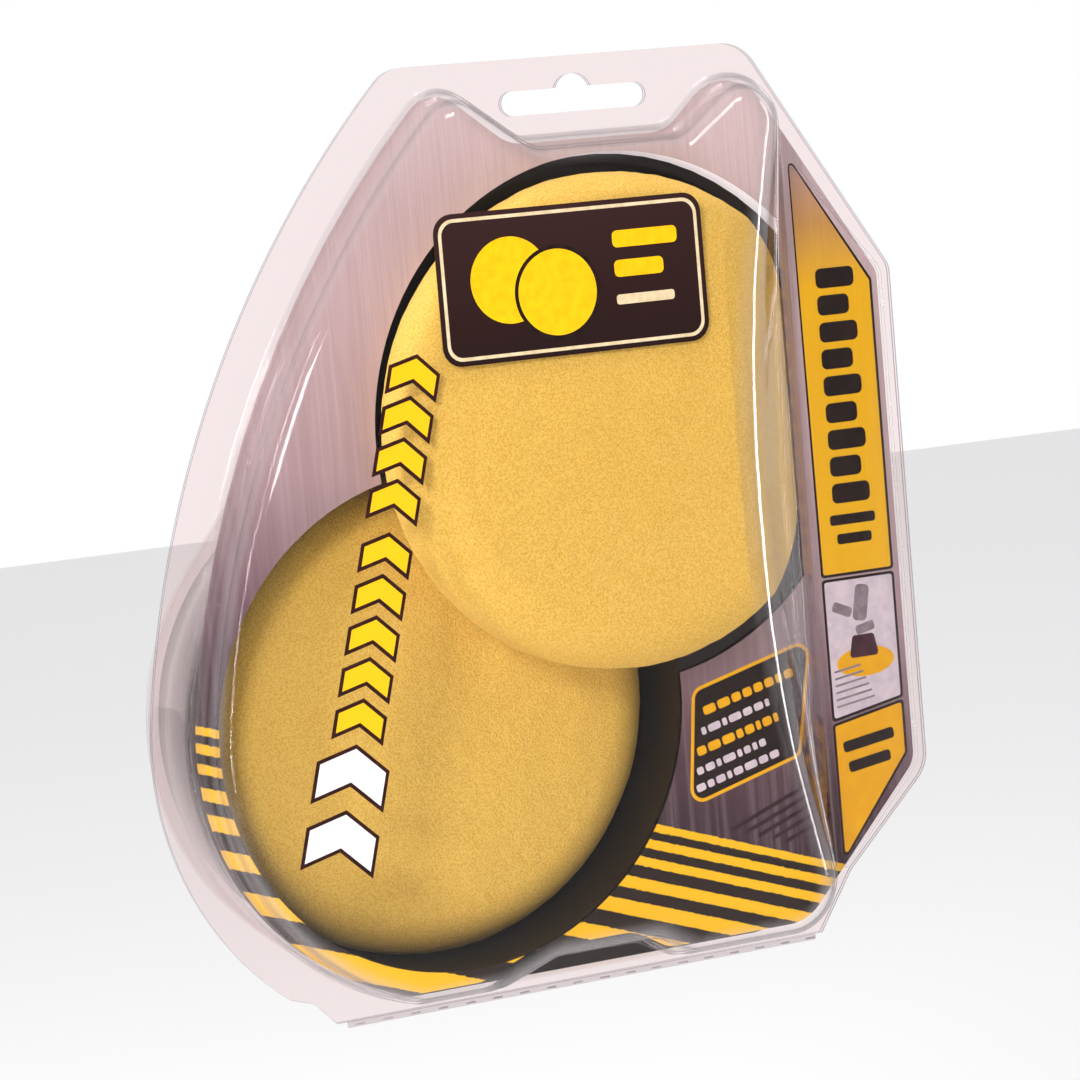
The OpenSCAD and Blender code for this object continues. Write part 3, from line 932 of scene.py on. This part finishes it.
def disc(x, z, rx, rz, steps=40):
    angles = arc(0, 360 - 360 / steps, steps - 1)
    return [(x + rx * math.cos(a), z + rz * math.sin(a)) for a in angles]


def bar(x, z, w, h, angle=0.0):
    """A rounded bar that starts at x, z and runs w along angle."""
    c, s = math.cos(math.radians(angle)), math.sin(math.radians(angle))
    box = rounded([(0, -h / 2), (w, -h / 2), (w, h / 2), (0, h / 2)], min(w, h) * 0.3, 4)
    return [(x + c * px - s * pz, z + s * px + c * pz) for px, pz in box]


black = print_ink("black_ink", rgb(24, 14, 12), rgb(40, 26, 22))
yellow = print_ink("yellow_ink", rgb(246, 190, 14), rgb(238, 176, 10))
pale = print_ink("pale_ink", rgb(226, 220, 228), rgb(208, 202, 214))
grey = print_ink("grey_ink", rgb(132, 124, 132), rgb(160, 152, 158))
plum = print_ink("plum_ink", rgb(58, 30, 40), rgb(84, 50, 62))
streak_ink = print_ink("streak_ink", rgb(46, 28, 34), rgb(66, 46, 54))
cream = print_ink("cream_ink", rgb(226, 204, 168), rgb(206, 182, 142))

LEFT, RIGHT = 86.8, 103.3          # of the side panel
PANEL_TOP = [(LEFT, 77), (RIGHT, 77), (RIGHT, 138.2), (86.2, 165)]
PANEL_LOW = [(LEFT, 16.5), (RIGHT, 36.8), (RIGHT, 47.6), (97.8, 46.6), (LEFT, 44.6)]
PICTURE = [(LEFT, 46.2), (97.8, 48.2), (RIGHT, 49.2), (RIGHT, 75.4), (LEFT, 75.4)]
panel_edges = [(rounded(grown(part, 0.6), 0.8, 3), 0) for part in (PANEL_TOP, PANEL_LOW, PICTURE)]
card_print("side_panel_frame", panel_edges, black)
card_print("side_panel", [(rounded(PANEL_TOP, 0.5, 3), 1)], faded_yellow())

INFO_BOX = [(51.7, 33.4), (77.4, 40.2), (81.7, 63.6), (54.2, 56.6)]
INFO_TILT = 14.0
YELLOW_ROWS = [(55.8, 52.3, 22.6), (53.6, 43.9, 20.5)]  # x and z of each row's start, and its length
PALE_ROWS = [(55.0, 48.1, 16.5), (53.2, 39.8, 17), (52.8, 36.2, 20.5)]
DASH_LENGTHS = (1.1, 1.6, 2.2, 3.0)
DASH_GAP = 0.55


def dashes(rows, h):
    """Rows of short bars of uneven length, like lines of print too small to read."""
    c, s = math.cos(math.radians(INFO_TILT)), math.sin(math.radians(INFO_TILT))
    shapes = []
    for x, z, length in rows:
        rng = random.Random(int(x * 10 + z))
        t = 0
        while t < length:
            w = min(rng.choice(DASH_LENGTHS), length - t + 0.4)
            shapes.append((bar(x + t * c, z + t * s, w, h, INFO_TILT), 2))
            t += w + DASH_GAP
    return shapes


card_print("info_box", [(rounded(INFO_BOX, 2.2), 1)], black)
yellow_shapes = [
    (rounded(grown(INFO_BOX, 0.75), 2.9), 0),
    (rounded(PANEL_LOW, 0.5, 3), 1),
    (disc(95.4, 57.6, 7.0, 3.2), 2),
]
card_print("yellow_print", yellow_shapes + dashes(YELLOW_ROWS, 1.9), yellow)

BLOCKS, BLOCKS_TOP, BLOCK_PITCH = 9, 139.5, 5.7
blocks = [
    (bar(LEFT + 3.6, BLOCKS_TOP - k * BLOCK_PITCH, 9.2 - 1.6 * (k % 2), 4.2), 2)
    for k in range(BLOCKS)
]
blocks += [(bar(LEFT + 2.6, 88.3, 11, 2.2), 2), (bar(LEFT + 4, 84.2, 8.4, 2.2), 2)]
blocks += [(bar(LEFT + 1.6, 39.8, 12.6, 2.4, 8), 2), (bar(LEFT + 2.6, 35.4, 10.4, 2.4, 8), 2)]
card_print("side_panel_marks", blocks, black)

card_print("pale_print", [(rounded(PICTURE, 0.5, 3), 1)] + dashes(PALE_ROWS, 1.6), pale)
lines = [(bar(LEFT + 0.8, 48.6 + k * 1.5, 9.5 - k * 0.6, 0.45, 8), 3) for k in range(6)]
TOOL = [(94.6, 66.4, 7.8, 3.4, 80), (93.6, 64.3, 4.6, 2.0, 12), (88.4, 70.2, 4.8, 2.2, -24)]
card_print("picture_tool", lines + [(bar(*part), 3) for part in TOOL], grey)
streaks = [(bar(60 + 3.2 * k, 26.4 - 1.1 * k, 25 - 3.2 * k, 0.9, 20), 1) for k in range(5)]
card_print("dark_streaks", streaks, streak_ink)
PAD_BOSS = [(91.6, 58.6), (98.8, 58.6), (97.8, 63.4), (92.6, 63.4)]
card_print("picture_pad_boss", [(rounded(PAD_BOSS, 0.8), 4)], plum)

# ---- Labels on the bulge -----------------------------------------------------------------------

LABEL_C = (26.3, 145.5)
LABEL_W, LABEL_H, LABEL_R = 59, 30, 4
LABEL_T = 0.15
LABEL_FRONT = FACE_Y - LABEL_T
BORDER_INSET, BORDER_W = 1.0, 0.7
LEFT_DISC, RIGHT_DISC = (12.5, 146.5), (22.6, 143.2)
DISC_R, DISC_RIM = 8.6, 0.8
BARS_X = 35.5


def label_print(name, shapes, material):
    print_piece(name, shapes, material, "front", LABEL_FRONT)


def rectangle(cx, cz, w, h, r):
    x, z = w / 2, h / 2
    return rounded([(cx - x, cz - z), (cx + x, cz - z), (cx + x, cz + z), (cx - x, cz + z)], r)


def label_border():
    """A closed band that runs round the front label."""
    m = Mesher()

    def edge(inset, y):
        w, h, r = LABEL_W - 2 * inset, LABEL_H - 2 * inset, LABEL_R - inset * 0.8
        return m.ring(rectangle(*LABEL_C, w, h, r), y)

    inner = BORDER_INSET + BORDER_W
    low, high = LABEL_FRONT, LABEL_FRONT - LAYER
    path = [edge(BORDER_INSET, low), edge(BORDER_INSET, high), edge(inner, high), edge(inner, low)]
    m.skin(path + path[:1])
    piece = dress(m.object("label_border"), cream)
    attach(piece, "front")


label_border()
discs = [(disc(*LEFT_DISC, DISC_R, DISC_R, 60), 0), (disc(*RIGHT_DISC, DISC_R, DISC_R, 60), 2)]
label_print("label_pads", discs, yellow)
rim = disc(*RIGHT_DISC, DISC_R + DISC_RIM, DISC_R + DISC_RIM, 60)
label_print("label_pad_rim", [(rim, 1)], black)
label_print("label_bars", [(bar(BARS_X, 152.5, 14.5, 3.4), 0), (bar(BARS_X, 146.6, 11, 3.4), 0)], yellow)
label_print("label_small_bar", [(bar(BARS_X, 140.4, 13, 2.0), 0)], cream)

# Each group of chevrons: count, width, length, spacing, and where it starts along the row.
MARKS = [(2, 14, 10.5, 13, 0.0), (5, 9.5, 6.6, 8.2, 26.0), (4, 9.5, 6.6, 8.2, 69.4)]
MARK_LEAN = 0.28                   # how far a chevron's point leads, as a share of its width
OUTLINE = 0.78


def chevron(w, length):
    lead = MARK_LEAN * w
    tail = length - lead
    return [(0, -w / 2), (tail, -w / 2), (length, 0), (tail, w / 2), (0, w / 2), (lead, 0)]


def mark_outlines():
    """The dark edge behind each chevron of the row."""
    c, s = math.cos(ROW_ANGLE), math.sin(ROW_ANGLE)
    x, z = ROW_START
    shapes = []
    for count, w, length, spacing, start in MARKS:
        edge = grown(chevron(w, length), OUTLINE)
        for k in range(count):
            u = start + k * spacing
            turned_edge = [(x + c * (u + p) - s * q, z + s * (u + p) + c * q) for p, q in edge]
            shapes.append((turned_edge, 0))
    return shapes


dark_edge = print_ink("mark_edge_ink", rgb(40, 15, 15), rgb(56, 26, 22))
print_piece("row_of_marks_edge", mark_outlines(), dark_edge, "front", FACE_Y)

# ---- Fold --------------------------------------------------------------------------------------

SCORE_PITCH, SCORE_L, SCORE_H, SCORE_Z = 6.1, 2.2, 0.34, 0.6
BEAD_FRONT = -0.6
fold_grey = print_ink("fold_score", rgb(150, 142, 146), rgb(178, 170, 174), 0.5)
scores = []
score_x = FOLD[0] + 3
while score_x + SCORE_L < FOLD[1] - 2:
    scores.append((bar(score_x, SCORE_Z, SCORE_L, SCORE_H), 0))
    score_x += SCORE_PITCH
print_piece("fold_scores", scores, fold_grey, "back", BEAD_FRONT)

# ---- Stage, in metres --------------------------------------------------------------------------

FLOOR_DROP = 0.21                  # the floor lies low enough for the pack to open above it
FLOOR_SIZE = 6
MIDDLE = (0, 0, 0.095)
CAMERA_SIDE, CAMERA_SIDE_LIGHT = -0.35, 0.5  # a direction's Y, and the sky's strength there
FAR_SIDE, FAR_SIDE_LIGHT = 0.3, 1.0


def area_light(name, place, size, power):
    """A rectangular light that is aimed at the middle of the pack."""
    data = bpy.data.lights.new(name, "AREA")
    data.shape = "RECTANGLE"
    data.size, data.size_y = size
    data.energy = power
    light = bpy.data.objects.new(name, data)
    light.location = place
    light.rotation_euler = (Vector(MIDDLE) - Vector(place)).to_track_quat("-Z", "Y").to_euler()
    bpy.context.scene.collection.objects.link(light)


def sky():
    """White light from all round, at half strength on the camera's side of the pack."""
    world = bpy.data.worlds.new("studio")
    bpy.context.scene.world = world
    world.use_nodes = True
    tree = world.node_tree
    place = tree.nodes.new("ShaderNodeTexCoord")
    axes = tree.nodes.new("ShaderNodeSeparateXYZ")
    fall = tree.nodes.new("ShaderNodeMapRange")
    limits = (CAMERA_SIDE, FAR_SIDE, CAMERA_SIDE_LIGHT, FAR_SIDE_LIGHT)
    for socket, value in zip(list(fall.inputs)[1:5], limits):
        socket.default_value = value
    tree.links.new(place.outputs["Generated"], axes.inputs[0])
    tree.links.new(axes.outputs["Y"], fall.inputs["Value"])
    tree.links.new(fall.outputs[0], tree.nodes["Background"].inputs["Strength"])
    tree.nodes["Background"].inputs["Color"].default_value = (1, 1, 1, 1)


def studio():
    bpy.ops.mesh.primitive_plane_add(size=FLOOR_SIZE, location=(0, 0, -FLOOR_DROP))
    floor = bpy.context.object
    floor.name = "floor"
    dress(floor, floor_material())
    area_light("left_key", (-0.8, -0.85, 0.6), (0.26, 0.26), 8)
    area_light("left_strip", (-0.8, -0.25, 0.25), (0.03, 0.9), 4.5)
    area_light("top_soft", (0.0, -0.35, 1.1), (0.4, 0.2), 4)
    area_light("right_strip", (0.8, -0.1, 0.25), (0.03, 0.7), 0.9)
    sky()
    bpy.context.scene.view_settings.view_transform = "Standard"


CAMERA_AT = (-0.31748, -0.70134, 0.17269)
CAMERA_AZIMUTH = 24.65             # degrees that it looks to the right of +Y
CAMERA_DOWN = 6.0
CAMERA_ROLL = 4.94
CAMERA_LENS = 125.26


def camera():
    data = bpy.data.cameras.new("camera")
    data.lens = CAMERA_LENS
    data.sensor_width = 36
    data.clip_start = 0.01
    cam = bpy.data.objects.new("camera", data)
    turn = Matrix.Rotation(-math.radians(CAMERA_AZIMUTH), 4, "Z")
    tilt = Matrix.Rotation(math.radians(90 - CAMERA_DOWN), 4, "X")
    roll = Matrix.Rotation(-math.radians(CAMERA_ROLL), 4, "Z")
    cam.matrix_world = Matrix.Translation(CAMERA_AT) @ turn @ tilt @ roll
    bpy.context.scene.collection.objects.link(cam)
    bpy.context.scene.camera = cam


studio()
camera()
bpy.context.scene.cycles.transparent_max_bounces = 48
bpy.context.scene.cycles.max_bounces = 10
